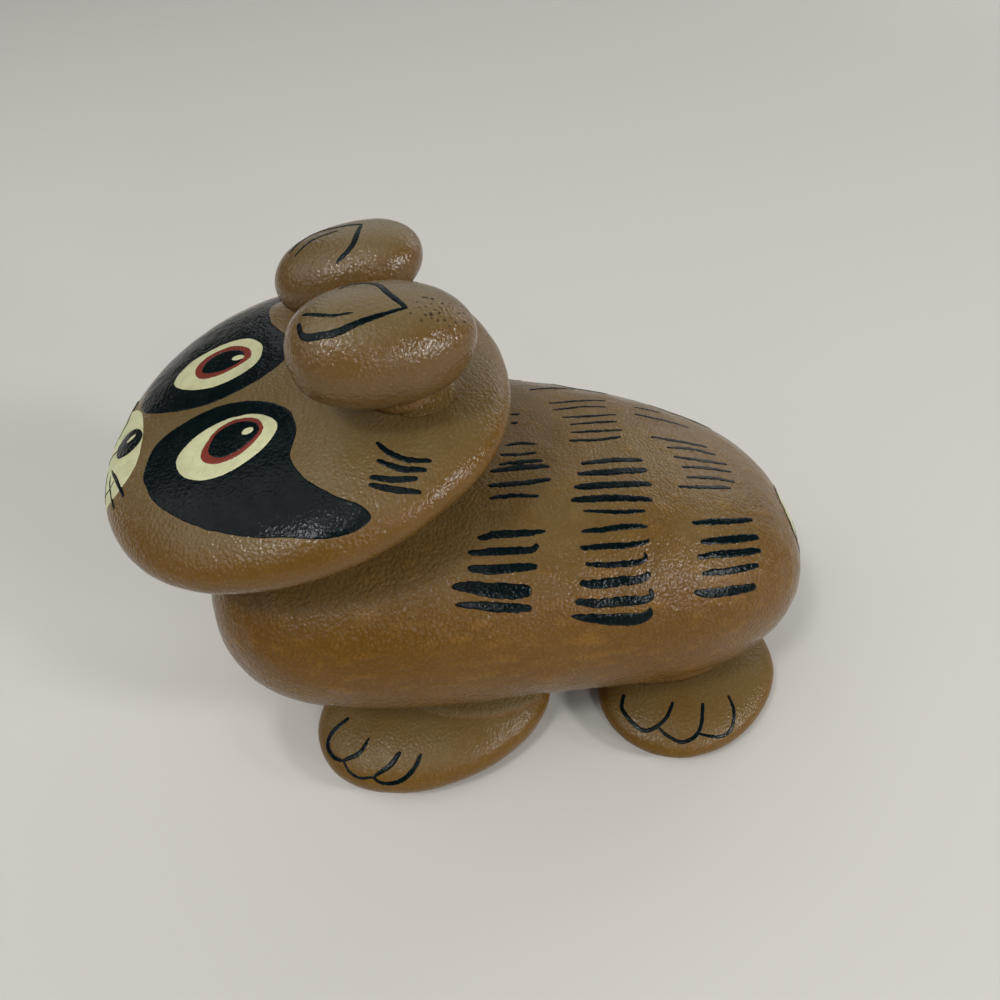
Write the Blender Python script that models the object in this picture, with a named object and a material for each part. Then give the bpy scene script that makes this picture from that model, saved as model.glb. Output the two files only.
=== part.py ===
"""Raccoon figurine glued up from eight painted pebbles.

A long pebble is the body, a flat round one the head, two small ones the ears and four flat ones
the paws. Every joint is a bead of adhesive squeezed between two stones. The raccoon looks along
-Y, its left side is +X, and it stands on Z = 0 with the origin under the middle of its box.
Sizes are in metres and angles in degrees.
"""

import math

import bmesh
import bpy
from mathutils import Matrix, Vector
from mathutils.bvhtree import BVHTree

MM = 0.001

# Body: a long pebble, broader at the shoulders than at the rump. A swell is a direction out of the
# stone, how far the surface stands out there, or in where it is negative, and how wide it spreads.
# The body's swells are the same on both flanks.
BODY_LENGTH = 92.8 * MM
BODY_WIDTH = 61.3 * MM
BODY_DEPTH = 36.0 * MM
BODY_PLAN_ROUNDNESS = 3.25
BODY_EDGE_ROUNDNESS = 2.3
BODY_RUMP_TAPER = 0.20
BODY_SWELLS = (
    ((0.6, -0.62, -0.5), 0.9 * MM, 0.6),
    ((0.6, 0.62, -0.5), 1.1 * MM, 0.6),
    ((0.6, 0.62, 0.5), -0.6 * MM, 0.6),
    ((0.5, 0.0, 0.8), 1.2 * MM, 0.6),
    ((0.6, 0.0, -0.7), -1.5 * MM, 0.6),
    ((0.0, 0.95, 0.3), 0.8 * MM, 0.6),
    ((0.0, -0.65, 0.76), -0.8 * MM, 0.5),
)

# Head: a flat, nearly round pebble, nodding forward over the front of the body.
HEAD_LENGTH = 55.7 * MM
HEAD_WIDTH = 58.4 * MM
HEAD_THICKNESS = 15.9 * MM
HEAD_PLAN_ROUNDNESS = 2.05
HEAD_EDGE_ROUNDNESS = 2.15
HEAD_SWELLS = (
    ((0.50, 0.87, 0.0), 1.6 * MM, 0.5),
    ((-0.77, 0.64, 0.0), -1.2 * MM, 0.5),
    ((-0.94, -0.34, 0.0), 0.8 * MM, 0.5),
    ((-0.34, -0.94, 0.0), -1.6 * MM, 0.5),
    ((0.77, -0.64, 0.0), 0.6 * MM, 0.5),
)
HEAD_NOD = 12.4
HEAD_TURN = 4.9
HEAD_OVERHANG = 9.8 * MM

# Ears: two small oval pebbles lying on the back of the head. The right one is a little smaller
# and further forward. A setback is measured from the back of the head, an offset from its middle.
LEFT_EAR_SIZE = (15.9 * MM, 21.8 * MM, 12.5 * MM)
LEFT_EAR_SWELLS = (
    ((0.5, -0.75, -0.4), 0.5 * MM, 0.5),
    ((0.4, 0.75, 0.5), 0.6 * MM, 0.5),
    ((0.0, -0.6, 0.8), 0.6 * MM, 0.5),
)
LEFT_EAR_TILT = -4.7
LEFT_EAR_TURN = 20.8
LEFT_EAR_SETBACK = 15.1 * MM
LEFT_EAR_OFFSET = 0.9 * MM
RIGHT_EAR_SIZE = (14.2 * MM, 20.6 * MM, 10.3 * MM)
RIGHT_EAR_SWELLS = (((0.0, -0.6, 0.8), 0.3 * MM, 0.5),)
RIGHT_EAR_TILT = 16.7
RIGHT_EAR_TURN = -2.5
RIGHT_EAR_SETBACK = 20.7 * MM
RIGHT_EAR_OFFSET = 3.3 * MM
EAR_ROUNDNESS = 2.2

# Paws: flat oval pebbles, toes turned outward, each lapped flat underneath so that it stands.
# The left and right paws of a pair stand apart by the paw spacing, the pairs by the stride spacing.
FRONT_PAW_SIZE = (27.1 * MM, 39.6 * MM, 10.7 * MM)
FRONT_PAW_TURN = 20.0
FRONT_PAW_SPACING = 9.6 * MM
REAR_PAW_SIZE = (26.5 * MM, 33.6 * MM, 8.0 * MM)
REAR_PAW_TURN = 37.6
REAR_PAW_SPACING = 1.4 * MM
PAW_PLAN_ROUNDNESS = 2.1
PAW_EDGE_ROUNDNESS = 2.3
PAW_LAP = 0.5 * MM
STRIDE_SPACING = 7.7 * MM
STANCE_SHIFT = 8.8 * MM

# Adhesive: a bead has its thickness where the stones are closest, and flares out from there as
# far as its reach, or until the stones part by its swell. It leans to the side it was put on.
GLUE_CLEARANCE = 0.3 * MM
GLUE_WAIST = 0.35
NECK_GLUE_THICKNESS = 0.3 * MM
NECK_GLUE_REACH = 13.0 * MM
NECK_GLUE_SWELL = 2.6 * MM
NECK_GLUE_LEAN = (0.0, 0.0)
LEFT_EAR_GLUE_THICKNESS = 0.9 * MM
RIGHT_EAR_GLUE_THICKNESS = 0.4 * MM
EAR_GLUE_REACH = 6.0 * MM
EAR_GLUE_SWELL = 2.4 * MM
LEFT_EAR_GLUE_LEAN = (1.0 * MM, 3.5 * MM)
RIGHT_EAR_GLUE_LEAN = (1.5 * MM, -3.5 * MM)
PAW_GLUE_THICKNESS = 0.3 * MM
PAW_GLUE_REACH = 12.0 * MM
PAW_GLUE_SWELL = 4.5 * MM
PAW_GLUE_LEAN = 5.0 * MM

# How finely the surfaces are cut.
LARGE_STONE_CUTS = 13
SMALL_STONE_CUTS = 8
BEAD_SIDES = 24
BEAD_RINGS = 4
BEAD_ROUNDING = 6
BEAD_MARCH = 0.25 * MM
STEEPEST_SEAT = 0.7
TILT_SEARCH_STEPS = 18
STEEPEST_TILT = 25.0
SHARPEST_SHADED_ANGLE = 50.0
FAR_AWAY = 1000 * MM

STONE_COLOUR = (0.235, 0.115, 0.045, 1.0)
STONE_ROUGHNESS = 0.42
GLUE_COLOUR = (0.300, 0.165, 0.075, 1.0)
GLUE_ROUGHNESS = 0.5


def clear_scene():
    for old in list(bpy.data.objects):
        bpy.data.objects.remove(old)


def finish(name, colour, roughness):
    """A plain non-metal material."""
    material = bpy.data.materials.new(name)
    material.use_nodes = True
    shader = material.node_tree.nodes["Principled BSDF"]
    shader.inputs["Base Color"].default_value = colour
    shader.inputs["Roughness"].default_value = roughness
    shader.inputs["Metallic"].default_value = 0.0
    return material


def add_object(name, shape, material):
    """Turns a bmesh into a smooth shaded object of the scene."""
    bmesh.ops.recalc_face_normals(shape, faces=shape.faces)
    mesh = bpy.data.meshes.new(name)
    shape.to_mesh(mesh)
    shape.free()
    mesh.shade_smooth()
    mesh.set_sharp_from_angle(angle=math.radians(SHARPEST_SHADED_ANGLE))
    mesh.materials.append(material)
    thing = bpy.data.objects.new(name, mesh)
    bpy.context.collection.objects.link(thing)
    return thing


def round_ball(cuts):
    """A unit ball made from a cube, so that its faces are even squares with no poles."""
    ball = bmesh.new()
    bmesh.ops.create_cube(ball, size=2.0)
    bmesh.ops.subdivide_edges(ball, edges=ball.edges, cuts=cuts, use_grid_fill=True)
    for vert in ball.verts:
        spread = [math.tan(part * math.pi / 4) for part in vert.co]
        vert.co = Vector(spread).normalized()
    return ball


def fit_to_size(shape, size):
    """Scales and centres a shape so that its box is exactly the size asked for."""
    for axis in range(3):
        low = min(vert.co[axis] for vert in shape.verts)
        high = max(vert.co[axis] for vert in shape.verts)
        for vert in shape.verts:
            vert.co[axis] = (vert.co[axis] - (low + high) / 2) * size[axis] / (high - low)


def swell_out(shape, ball_directions, swells, both_flanks):
    """Raises or sinks broad patches of a stone, each around its own direction."""
    for direction, height, breadth in swells:
        centres = [Vector(direction).normalized()]
        if both_flanks and direction[0] != 0.0:
            centres.append(centres[0] * Vector((-1, 1, 1)))
        for vert, outward in zip(shape.verts, ball_directions):
            for centre in centres:
                away = (outward - centre).length / breadth
                vert.co += centre * height * math.exp(-away * away)


def pebble(size, plan_roundness, edge_roundness, cuts, taper=0.0, swells=(), both_flanks=False):
    """A water-worn stone. Roundness 2 is an ellipse, and more is squarer. The taper narrows +Y."""
    shape = round_ball(cuts)
    ball_directions = [vert.co.copy() for vert in shape.verts]
    for vert in shape.verts:
        x, y, z = (abs(part) for part in vert.co)
        plan = (x**plan_roundness + y**plan_roundness) ** (edge_roundness / plan_roundness)
        vert.co *= (plan + z**edge_roundness) ** (-1 / edge_roundness)
        vert.co.x *= 1 - taper * vert.co.y
    fit_to_size(shape, size)
    swell_out(shape, ball_directions, swells, both_flanks)
    fit_to_size(shape, size)
    return shape


def lap_underside(shape, depth):
    """Grinds a flat on the underside, down to the given depth."""
    lowest = min(vert.co.z for vert in shape.verts)
    geometry = shape.verts[:] + shape.edges[:] + shape.faces[:]
    bmesh.ops.bisect_plane(
        shape,
        geom=geometry,
        plane_co=(0, 0, lowest + depth),
        plane_no=(0, 0, -1),
        clear_outer=True,
    )
    rim = [edge for edge in shape.edges if edge.is_boundary]
    bmesh.ops.edgeloop_fill(shape, edges=rim)


def turned(turn, tilt=0.0):
    """A turn about the upright axis, after a tilt that lowers the front."""
    return Matrix.Rotation(math.radians(turn), 4, "Z") @ Matrix.Rotation(math.radians(tilt), 4, "X")


def place(thing, rotation, x, y, z):
    thing.matrix_world = Matrix.Translation((x, y, z)) @ rotation


def world_points(thing):
    return [thing.matrix_world @ vert.co for vert in thing.data.vertices]


def span(thing, axis):
    """Lowest and highest coordinate of a placed object along one axis."""
    values = [point[axis] for point in world_points(thing)]
    return min(values), max(values)


def half_span(thing, axis):
    low, high = span(thing, axis)
    return (high - low) / 2


def surface(thing):
    faces = [tuple(face.vertices) for face in thing.data.polygons]
    return BVHTree.FromPolygons(world_points(thing), faces)


def top_of(tree, x, y):
    """Height and slope of a stone's upper side above a point of the table, or None."""
    hit, normal, _, _ = tree.ray_cast(Vector((x, y, FAR_AWAY)), Vector((0, 0, -1)))
    return None if hit is None else (hit.z, normal)


def underside_of(tree, x, y):
    """Height and slope of a stone's underside above a point of the table, or None."""
    hit, normal, _, _ = tree.ray_cast(Vector((x, y, -FAR_AWAY)), Vector((0, 0, 1)))
    return None if hit is None else (hit.z, normal)


def upright_gap(lower_tree, upper_tree, x, y):
    """Open height between two stones above a point of the table, or None beside them."""
    below = top_of(lower_tree, x, y)
    above = underside_of(upper_tree, x, y)
    if below is None or above is None:
        return None
    return above[0] - below[0]


def closest(lower, upper):
    """The least upright gap between two stones, and where it is."""
    lower_tree = surface(lower)
    upper_tree = surface(upper)
    best = None
    for point in world_points(lower) + world_points(upper):
        gap = upright_gap(lower_tree, upper_tree, point.x, point.y)
        if gap is not None and (best is None or gap < best[0]):
            best = (gap, point.x, point.y)
    return best


def lower_onto(upper, lowers, thickness):
    """Moves a stone straight up or down until it lies a glue joint above the stones under it."""
    joint = thickness + 2 * GLUE_CLEARANCE
    drop = min(closest(lower, upper)[0] for lower in lowers) - joint
    upper.matrix_world = Matrix.Translation((0, 0, -drop)) @ upper.matrix_world


def settle_level(upper, front, rear):
    """Tilts a stone about X until it is as close to its front support as to its rear one."""
    middle = upper.matrix_world.copy()
    low, high = -STEEPEST_TILT, STEEPEST_TILT
    for _ in range(TILT_SEARCH_STEPS):
        tilt = (low + high) / 2
        upper.matrix_world = middle @ Matrix.Rotation(math.radians(tilt), 4, "X")
        if closest(front, upper)[0] > closest(rear, upper)[0]:
            low = tilt
        else:
            high = tilt


def creep(lower_tree, upper_tree, start, direction, reach, swell):
    """How far adhesive creeps from a point in one direction before the stones part or turn away."""
    crept = 0.0
    while crept < reach:
        x, y = start + direction * (crept + BEAD_MARCH)
        below = top_of(lower_tree, x, y)
        above = underside_of(upper_tree, x, y)
        if below is None or above is None or above[0] - below[0] > swell:
            break
        if min(abs(below[1].z), abs(above[1].z)) < STEEPEST_SEAT:
            break
        crept += BEAD_MARCH
    return crept


def bead_section(lower_tree, upper_tree, x, y, thickness):
    """Heights of a bead's underside and top above a point, each clear of the stone it meets."""
    floor, floor_normal = top_of(lower_tree, x, y)
    roof, roof_normal = underside_of(upper_tree, x, y)
    floor += GLUE_CLEARANCE / abs(floor_normal.z)
    roof -= GLUE_CLEARANCE / abs(roof_normal.z)
    thin = max(0.0, thickness / 2 - (roof - floor)) / 2
    return floor - thin, roof + thin


def glue_bead(name, lower, upper, thickness, lean, reach, swell, material):
    """A bead of adhesive that fills the space between two stones around where they are closest."""
    lower_tree = surface(lower)
    upper_tree = surface(upper)
    _, x, y = closest(lower, upper)
    centre = Vector((x, y))
    lean = Vector(lean)
    if lean.length > 0:
        direction = lean.normalized()
        centre += direction * creep(
            lower_tree, upper_tree, centre, direction, lean.length, swell / 2
        )
    directions = []
    for side in range(BEAD_SIDES):
        angle = 2 * math.pi * side / BEAD_SIDES
        directions.append(Vector((math.cos(angle), math.sin(angle))))
    lengths = [
        max(BEAD_MARCH, creep(lower_tree, upper_tree, centre, direction, reach, swell))
        for direction in directions
    ]
    for _ in range(BEAD_ROUNDING):
        lengths = [
            min(own, (before + 2 * own + after) / 4)
            for before, own, after in zip(lengths[-1:] + lengths[:-1], lengths, lengths[1:] + lengths[:1])
        ]
    spokes = [direction * length for direction, length in zip(directions, lengths)]

    bead = bmesh.new()
    floor, roof = bead_section(lower_tree, upper_tree, *centre, thickness)
    hub_low = bead.verts.new((*centre, floor))
    hub_high = bead.verts.new((*centre, roof))
    low_rings, high_rings, waist = [], [], []
    for ring in range(1, BEAD_RINGS + 1):
        low_rings.append([])
        high_rings.append([])
        for spoke in spokes:
            point = centre + spoke * ring / BEAD_RINGS
            floor, roof = bead_section(lower_tree, upper_tree, *point, thickness)
            low_rings[-1].append(bead.verts.new((*point, floor)))
            high_rings[-1].append(bead.verts.new((*point, roof)))
            if ring == BEAD_RINGS:
                drawn_in = min(GLUE_WAIST * (roof - floor), spoke.length / BEAD_RINGS / 2)
                point -= spoke.normalized() * drawn_in
                waist.append(bead.verts.new((*point, (floor + roof) / 2)))
    for side in range(BEAD_SIDES):
        other = (side + 1) % BEAD_SIDES
        bead.faces.new((hub_low, low_rings[0][other], low_rings[0][side]))
        bead.faces.new((hub_high, high_rings[0][side], high_rings[0][other]))
        loops = low_rings + [waist] + high_rings[::-1]
        for inner, outer in zip(loops, loops[1:]):
            bead.faces.new((inner[side], inner[other], outer[other], outer[side]))
    return add_object(name, bead, material)


def make_paw(name, size, turn, material):
    shape = pebble(size, PAW_PLAN_ROUNDNESS, PAW_EDGE_ROUNDNESS, SMALL_STONE_CUTS)
    lap_underside(shape, PAW_LAP)
    paw = add_object(name, shape, material)
    place(paw, turned(turn), 0, 0, 0)
    return paw


def stand_paw(paw, side, spacing, ahead):
    """Stands a paw on the table, beside the middle line and ahead of or behind mid-stance."""
    x = side * (spacing / 2 + half_span(paw, 0))
    y = STANCE_SHIFT + ahead * (STRIDE_SPACING / 2 + half_span(paw, 1))
    low, _ = span(paw, 2)
    paw.matrix_world = Matrix.Translation((x, y, -low)) @ paw.matrix_world


def make_ear(name, size, swells, tilt, turn, material):
    shape = pebble(size, EAR_ROUNDNESS, EAR_ROUNDNESS, SMALL_STONE_CUTS, swells=swells)
    ear = add_object(name, shape, material)
    place(ear, turned(turn, tilt), 0, 0, 0)
    return ear


def stand_ear(ear, head, side, offset, setback, thickness):
    """Lays an ear on the head, beside its middle and a set distance ahead of its back."""
    head_low, head_high = span(head, 0)
    x = (head_low + head_high) / 2 + side * (offset + half_span(ear, 0))
    y = span(head, 1)[1] - setback
    ear.matrix_world = Matrix.Translation((x, y, 0)) @ ear.matrix_world
    lower_onto(ear, [head], thickness)


clear_scene()
stone = finish("painted_stone", STONE_COLOUR, STONE_ROUGHNESS)
glue = finish("painted_glue", GLUE_COLOUR, GLUE_ROUGHNESS)

# The paws stand first, and everything else is stacked on them.
paws = {}
for end, size, turn, spacing, ahead in (
    ("front", FRONT_PAW_SIZE, FRONT_PAW_TURN, FRONT_PAW_SPACING, -1),
    ("rear", REAR_PAW_SIZE, REAR_PAW_TURN, REAR_PAW_SPACING, 1),
):
    for flank, side in (("left", 1), ("right", -1)):
        paw = make_paw(f"{end}_{flank}_paw", size, side * turn, stone)
        stand_paw(paw, side, spacing, ahead)
        paws[end, flank] = paw

# The body lies on all four paws, as steeply as their thicknesses make it.
body_shape = pebble(
    (BODY_WIDTH, BODY_LENGTH, BODY_DEPTH),
    BODY_PLAN_ROUNDNESS,
    BODY_EDGE_ROUNDNESS,
    LARGE_STONE_CUTS,
    BODY_RUMP_TAPER,
    BODY_SWELLS,
    both_flanks=True,
)
body = add_object("body_stone", body_shape, stone)
place(body, turned(0), 0, 0, BODY_DEPTH)
settle_level(body, paws["front", "left"], paws["rear", "left"])
lower_onto(body, list(paws.values()), PAW_GLUE_THICKNESS)

# The head lies on the front of the body, and reaches past it.
head_shape = pebble(
    (HEAD_WIDTH, HEAD_LENGTH, HEAD_THICKNESS),
    HEAD_PLAN_ROUNDNESS,
    HEAD_EDGE_ROUNDNESS,
    LARGE_STONE_CUTS,
    swells=HEAD_SWELLS,
)
head = add_object("head_stone", head_shape, stone)
place(head, turned(HEAD_TURN, HEAD_NOD), 0, 0, 0)
reach_back = -span(head, 1)[0]
head_y = span(body, 1)[0] - HEAD_OVERHANG + reach_back
place(head, turned(HEAD_TURN, HEAD_NOD), 0, head_y, BODY_DEPTH)
lower_onto(head, [body], NECK_GLUE_THICKNESS)

left_ear = make_ear(
    "left_ear", LEFT_EAR_SIZE, LEFT_EAR_SWELLS, LEFT_EAR_TILT, LEFT_EAR_TURN, stone
)
stand_ear(left_ear, head, 1, LEFT_EAR_OFFSET, LEFT_EAR_SETBACK, LEFT_EAR_GLUE_THICKNESS)
right_ear = make_ear(
    "right_ear", RIGHT_EAR_SIZE, RIGHT_EAR_SWELLS, RIGHT_EAR_TILT, RIGHT_EAR_TURN, stone
)
stand_ear(right_ear, head, -1, RIGHT_EAR_OFFSET, RIGHT_EAR_SETBACK, RIGHT_EAR_GLUE_THICKNESS)

# The adhesive goes in last, cast between the stones as they lie.
glue_bead(
    "neck_glue",
    body,
    head,
    NECK_GLUE_THICKNESS,
    NECK_GLUE_LEAN,
    NECK_GLUE_REACH,
    NECK_GLUE_SWELL,
    glue,
)
for ear, thickness, lean in (
    (left_ear, LEFT_EAR_GLUE_THICKNESS, LEFT_EAR_GLUE_LEAN),
    (right_ear, RIGHT_EAR_GLUE_THICKNESS, RIGHT_EAR_GLUE_LEAN),
):
    name = f"{ear.name}_glue"
    glue_bead(name, head, ear, thickness, lean, EAR_GLUE_REACH, EAR_GLUE_SWELL, glue)
for (_, flank), paw in paws.items():
    name = f"{paw.name}_glue"
    lean = (PAW_GLUE_LEAN if flank == "left" else -PAW_GLUE_LEAN, 0.0)
    glue_bead(name, paw, body, PAW_GLUE_THICKNESS, lean, PAW_GLUE_REACH, PAW_GLUE_SWELL, glue)

# The origin moves under the middle of the whole figurine.
pieces = list(bpy.context.scene.objects)
spans = [[span(piece, axis) for piece in pieces] for axis in range(3)]
lows = [min(low for low, _ in along) for along in spans]
highs = [max(high for _, high in along) for along in spans]
to_origin = Matrix.Translation((-(lows[0] + highs[0]) / 2, -(lows[1] + highs[1]) / 2, -lows[2]))
for piece in pieces:
    piece.matrix_world = to_origin @ piece.matrix_world
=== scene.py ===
import math
from collections import namedtuple

import bmesh
import bpy
import numpy as np
from mathutils import Euler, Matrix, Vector, noise
from mathutils.bvhtree import BVHTree


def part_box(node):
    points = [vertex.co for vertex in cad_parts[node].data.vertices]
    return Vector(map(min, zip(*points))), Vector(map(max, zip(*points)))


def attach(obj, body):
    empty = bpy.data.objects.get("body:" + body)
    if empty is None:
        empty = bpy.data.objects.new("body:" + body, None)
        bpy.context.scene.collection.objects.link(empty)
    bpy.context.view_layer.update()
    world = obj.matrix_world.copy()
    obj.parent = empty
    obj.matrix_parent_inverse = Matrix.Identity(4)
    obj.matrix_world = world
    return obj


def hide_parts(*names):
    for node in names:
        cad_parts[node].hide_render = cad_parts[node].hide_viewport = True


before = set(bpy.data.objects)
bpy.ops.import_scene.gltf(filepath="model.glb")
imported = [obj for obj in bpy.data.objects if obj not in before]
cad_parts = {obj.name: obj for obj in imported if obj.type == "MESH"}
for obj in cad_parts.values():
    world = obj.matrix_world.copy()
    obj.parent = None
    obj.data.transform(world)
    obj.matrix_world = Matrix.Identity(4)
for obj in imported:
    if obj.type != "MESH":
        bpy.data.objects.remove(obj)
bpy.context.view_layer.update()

MM = 0.001

# Body pebble
# One long beach pebble lying on its side, the biggest stone of the figurine. It was washed, glued to
# the others and brushed brown all over, so the worn skin of the stone still shows under the paint.
SAME_SPOT = 0.0001 * MM
NEARLY_FLAT = math.radians(30)
NEARLY_SQUARE = math.radians(60)
LAPPED_EDGE = math.radians(35)
LAPPED_CREASE = 0.8
LAPPED_ROOM = 0.1
BODY_CUTS = 3
BODY_WAVES = ((17, 0.25), (7, 0.14), (3.2, 0.08), (1.7, 0.035))
# The pale colour of the painted sheen on what faces up, standing in for the light the tops catch.
TOP_SHEEN_COLOUR = (0.149, 0.121, 0.058)


def fine_copy(node, name, cuts):
    """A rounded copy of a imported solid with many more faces, its sharp lapped edges kept."""
    work = bmesh.new()
    work.from_mesh(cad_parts[node].data)
    bmesh.ops.remove_doubles(work, verts=work.verts, dist=SAME_SPOT)
    bmesh.ops.join_triangles(work, faces=work.faces, angle_face_threshold=NEARLY_FLAT,
                             angle_shape_threshold=NEARLY_SQUARE)
    crease = work.edges.layers.float.new("crease_edge")
    for edge in work.edges:
        if edge.calc_face_angle(0) > LAPPED_EDGE:
            edge[crease] = LAPPED_CREASE
    coarse = bpy.data.meshes.new(name + "_coarse")
    work.to_mesh(coarse)
    work.free()
    piece = bpy.data.objects.new(name, coarse)
    bpy.context.scene.collection.objects.link(piece)
    rounding = piece.modifiers.new("rounding", "SUBSURF")
    rounding.levels = cuts
    rounding.render_levels = cuts
    seen = piece.evaluated_get(bpy.context.evaluated_depsgraph_get())
    fine = bpy.data.meshes.new_from_object(seen)
    fine.name = name
    piece.modifiers.clear()
    piece.data = fine
    bpy.data.meshes.remove(coarse)
    fine.shade_smooth()
    return piece


def points_of(mesh):
    """A mesh's points and the directions they face, each as a table with a row a point."""
    places = np.empty(len(mesh.vertices) * 3)
    mesh.vertices.foreach_get("co", places)
    facing = np.empty(len(mesh.vertices) * 3)
    mesh.vertex_normals.foreach_get("vector", facing)
    return places.reshape(-1, 3), facing.reshape(-1, 3)


def weathered(piece, waves, lowest=None):
    """Pushes a stone's skin in and out by smooth noise. A wave has a length and a depth in mm. The
    push fades out in the last millimetre above the lowest height, where the stone is lapped flat."""
    places, facing = points_of(piece.data)
    push = np.zeros(len(places))
    for order, (length, depth) in enumerate(waves):
        # Each wave on each stone takes its own part of the noise.
        shift = Vector((order * 7.3, len(piece.name) * 1.7, ord(piece.name[0]) * 0.37))
        push += [depth * MM * noise.noise(Vector(p) + shift) for p in places / (length * MM)]
    if lowest is not None:
        push *= np.clip((places[:, 2] - lowest) / MM - LAPPED_ROOM, 0, 1)
    piece.data.vertices.foreach_set("co", (places + facing * push[:, None]).ravel())
    piece.data.update()


def effect(name, inputs, outputs):
    """A shader node group with named sockets. Inputs have a kind and a value, outputs a kind."""
    group = bpy.data.node_groups.new(name, "ShaderNodeTree")
    for label, (kind, value) in inputs.items():
        socket = group.interface.new_socket(label, in_out="INPUT", socket_type="NodeSocket" + kind)
        socket.default_value = value
    for label, kind in outputs.items():
        group.interface.new_socket(label, in_out="OUTPUT", socket_type="NodeSocket" + kind)
    return group


def add(tree, kind, settings=None, **inputs):
    """Adds a shader node. Each keyword is a socket's identifier, or its name with _ for spaces, and
    its value is a number, a colour or the socket to wire to it."""
    made = tree.nodes.new("ShaderNode" + kind)
    for name, value in (settings or {}).items():
        setattr(made, name, value)
    for key, value in inputs.items():
        names = (key, key.replace("_", " "))
        socket = next(s for s in made.inputs if s.identifier in names or s.name in names)
        if isinstance(value, bpy.types.NodeSocket):
            tree.links.new(value, socket)
        else:
            socket.default_value = value
    return made


def pebble_skin_group():
    """The skin of a painted pebble: blotches of colour, pin pricks in the varnish, a pale painted
    sheen where it faces up, and a height for the bumps, which are grain, wrinkles and the varnish's
    peel."""
    group = effect("pebble skin", {"Grain Length": ("Float", 0.6 * MM), "Wrinkle": ("Float", 0.5),
                                   "Peel": ("Float", 0.5)},
                   {"Height": "Float", "Blotch": "Float", "Prick": "Float", "Dust": "Float"})
    inside = group.nodes.new("NodeGroupInput")
    where = add(group, "TexCoord").outputs["Object"]
    pitch = add(group, "Math", {"operation": "DIVIDE"}, Value=1.0,
                Value_001=inside.outputs["Grain Length"]).outputs[0]
    grain = add(group, "TexNoise", Vector=where, Scale=pitch, Detail=2.5, Roughness=0.55)
    squeezed = add(group, "Mapping", Vector=where, Scale=(1.0, 0.45, 1.0),
                   Rotation=(0.3, 0.2, 0.5)).outputs[0]
    wrinkle = add(group, "TexNoise", {"noise_type": "RIDGED_MULTIFRACTAL", "normalize": True},
                  Vector=squeezed, Scale=480.0, Detail=2.0, Roughness=0.5)
    both = add(group, "Math", {"operation": "MULTIPLY_ADD"}, Value=wrinkle.outputs[0],
               Value_001=inside.outputs["Wrinkle"], Value_002=grain.outputs[0])
    pits = add(group, "TexVoronoi", {"feature": "SMOOTH_F1"}, Vector=where, Scale=2100.0,
               Smoothness=0.35)
    peeled = add(group, "Math", {"operation": "MULTIPLY"}, Value=pits.outputs["Distance"],
                 Value_001=inside.outputs["Peel"])
    height = add(group, "Math", {"operation": "SUBTRACT"}, Value=both.outputs[0],
                 Value_001=peeled.outputs[0])
    blotch = add(group, "TexNoise", Vector=where, Scale=70.0, Detail=3.0, Roughness=0.6)
    prick = add(group, "TexNoise", Vector=where, Scale=1900.0, Detail=1.0)
    # Painted sheen: a share that grows where the skin faces up, broken into patches by the blotches.
    upward = add(group, "SeparateXYZ", Vector=add(group, "NewGeometry").outputs["Normal"])
    level = add(group, "MapRange", {"interpolation_type": "SMOOTHSTEP"}, Value=upward.outputs["Z"],
                From_Min=0.6, From_Max=1.0)
    dust = add(group, "Math", {"operation": "MULTIPLY"}, Value=level.outputs[0],
               Value_001=blotch.outputs[0])
    out = group.nodes.new("NodeGroupOutput")
    group.links.new(height.outputs[0], out.inputs["Height"])
    group.links.new(dust.outputs[0], out.inputs["Dust"])
    group.links.new(blotch.outputs[0], out.inputs["Blotch"])
    group.links.new(prick.outputs[0], out.inputs["Prick"])
    return group


pebble_skin = pebble_skin_group()


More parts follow.
